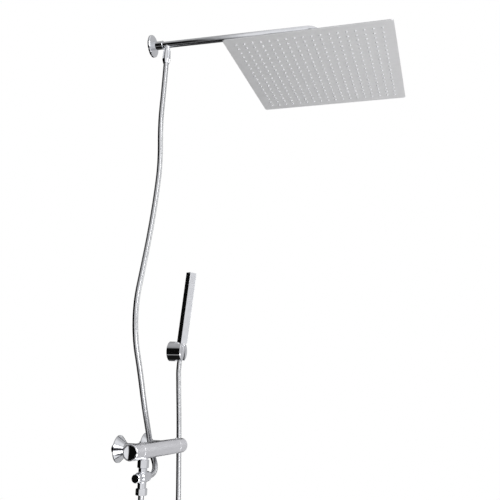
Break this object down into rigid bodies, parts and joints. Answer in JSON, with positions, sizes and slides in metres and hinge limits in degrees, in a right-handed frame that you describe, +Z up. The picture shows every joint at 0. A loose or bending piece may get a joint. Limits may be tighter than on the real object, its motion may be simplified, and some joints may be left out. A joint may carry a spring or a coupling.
{
  "type": "rainfall shower column",
  "caption": "Wall-mounted rainfall shower column: mixer bar with diverter, riser hose, wall arm with a square rain head, and a square hand shower in a wall holder.",
  "frame": {"origin": "centre of the hot inlet's thread in the finished wall plane", "axes": "+X along the wall from the hot inlet to the cold inlet, +Y into the wall, +Z up; the room is at -Y"},
  "size_m": [0.4866, 0.6962, 1.6101],
  "materials": {
    "polished_chrome": "polished chrome plate on brass",
    "satin_steel": "satin stainless sheet",
    "ribbed_chrome": "ribbed chromed metal hose",
    "silicone": "soft light grey silicone",
    "brass_core": "bare brass",
    "black_plastic": "matt black moulding",
    "white_plastic": "white acetal",
    "rubber_seal": "black rubber",
    "steel_fastener": "stainless screw"
  },
  "bodies": {
    "wall_set": {"arm_flange": "polished_chrome", "arm_socket": "polished_chrome", "arm_spigot": "polished_chrome", "arm_tube": "polished_chrome", "ball_stem": "polished_chrome", "ball_stem_washer": "rubber_seal", "cold_rosette": "polished_chrome", "cold_union": "polished_chrome", "diverter_body": "polished_chrome", "diverter_cartridge": "black_plastic", "diverter_collar": "polished_chrome", "diverter_top_nut": "polished_chrome", "diverter_top_washer": "rubber_seal", "flow_cartridge": "black_plastic", "flow_cartridge_nut": "brass_core", "grub_screws": "steel_fastener", "holder_body": "polished_chrome", "holder_liner": "black_plastic", "holder_wall_plate": "steel_fastener", "hose_1": "ribbed_chrome", "hose_1_lower_nut": "polished_chrome", "hose_1_lower_sleeve": "polished_chrome", "hose_1_upper_nut": "polished_chrome", "hose_2": "ribbed_chrome", "hose_2_hex_nut": "polished_chrome", "hose_washers": "rubber_seal", "hot_rosette": "polished_chrome", "hot_union": "polished_chrome", "inlet_check_valves": "white_plastic", "inlet_filter_washers": "rubber_seal", "mixer_body": "polished_chrome", "thermostatic_cartridge": "black_plastic", "thermostatic_cartridge_nut": "brass_core", "union_nuts": "polished_chrome"},
    "flow_handle": {"flow_handle": "polished_chrome", "flow_handle_cap": "polished_chrome", "flow_handle_screw": "steel_fastener", "flow_spindle": "brass_core"},
    "temperature_handle": {"temperature_handle": "polished_chrome", "temperature_handle_cap": "polished_chrome", "temperature_handle_screw": "steel_fastener", "temperature_spindle": "brass_core", "stop_button_spring": "steel_fastener"},
    "stop_button": {"stop_button": "polished_chrome"},
    "diverter_knob": {"diverter_knob": "polished_chrome", "diverter_spindle": "brass_core"},
    "ball_seat": {"ball_seat_ring": "white_plastic"},
    "ball_seal": {"ball_seal_ring": "rubber_seal"},
    "rain_head": {"ball_retainer": "polished_chrome", "rain_head_cover": "satin_steel", "rain_head_nozzle_mat": "silicone", "rain_head_spray_plate": "satin_steel"},
    "hose_2_end": {"hose_2_sleeve": "polished_chrome"},
    "hand_shower": {"hose_2_cone_nut": "polished_chrome", "hand_shower_shell": "polished_chrome", "hand_shower_spray_face": "polished_chrome", "hand_shower_nozzle_mat": "silicone", "hand_shower_inlet": "polished_chrome", "hand_shower_washer": "rubber_seal"}
  },
  "joints": [
    {"name": "flow_turn", "type": "hinge", "parent": "wall_set", "child": "flow_handle", "pos_m": [-0.0575, -0.07, 0], "axis": [-1, 0, 0], "range_deg": [0, 90]},
    {"name": "temperature_turn", "type": "hinge", "parent": "wall_set", "child": "temperature_handle", "pos_m": [0.2075, -0.07, 0], "axis": [1, 0, 0], "range_deg": [-150, 60]},
    {"name": "stop_button_press", "type": "slide", "parent": "temperature_handle", "child": "stop_button", "axis": [0, 0, -1], "range_m": [0, 0.0016], "stiffness_N_per_m": 600, "springref_m": -0.001, "deforming": ["stop_button_spring"]},
    {"name": "diverter_turn", "type": "hinge", "parent": "wall_set", "child": "diverter_knob", "pos_m": [-0.034, -0.07, -0.0606], "axis": [-1, 0, 0], "range_deg": [0, 90]},
    {"name": "head_tilt_front", "type": "hinge", "parent": "wall_set", "child": "ball_seat", "pos_m": [0.0204, -0.48116, 0.9901], "axis": [1, 0, 0], "range_deg": [-12, 12]},
    {"name": "head_tilt_side", "type": "hinge", "parent": "ball_seat", "child": "ball_seal", "pos_m": [0.0204, -0.48116, 0.9901], "axis": [0, 1, 0], "range_deg": [-12, 12]},
    {"name": "head_turn", "type": "hinge", "parent": "ball_seal", "child": "rain_head", "pos_m": [0.0204, -0.48116, 0.9901], "axis": [0, 0, 1], "continuous": true},
    {"name": "hand_shower_lift", "type": "slide", "parent": "wall_set", "child": "hose_2_end", "axis": [0, -0.0837, 0.9965], "range_m": [0, 0.06]},
    {"name": "hand_shower_turn", "type": "hinge", "parent": "hose_2_end", "child": "hand_shower", "pos_m": [0.279, -0.0355, 0.2804], "axis": [0, -0.0837, 0.9965], "continuous": true}
  ]
}
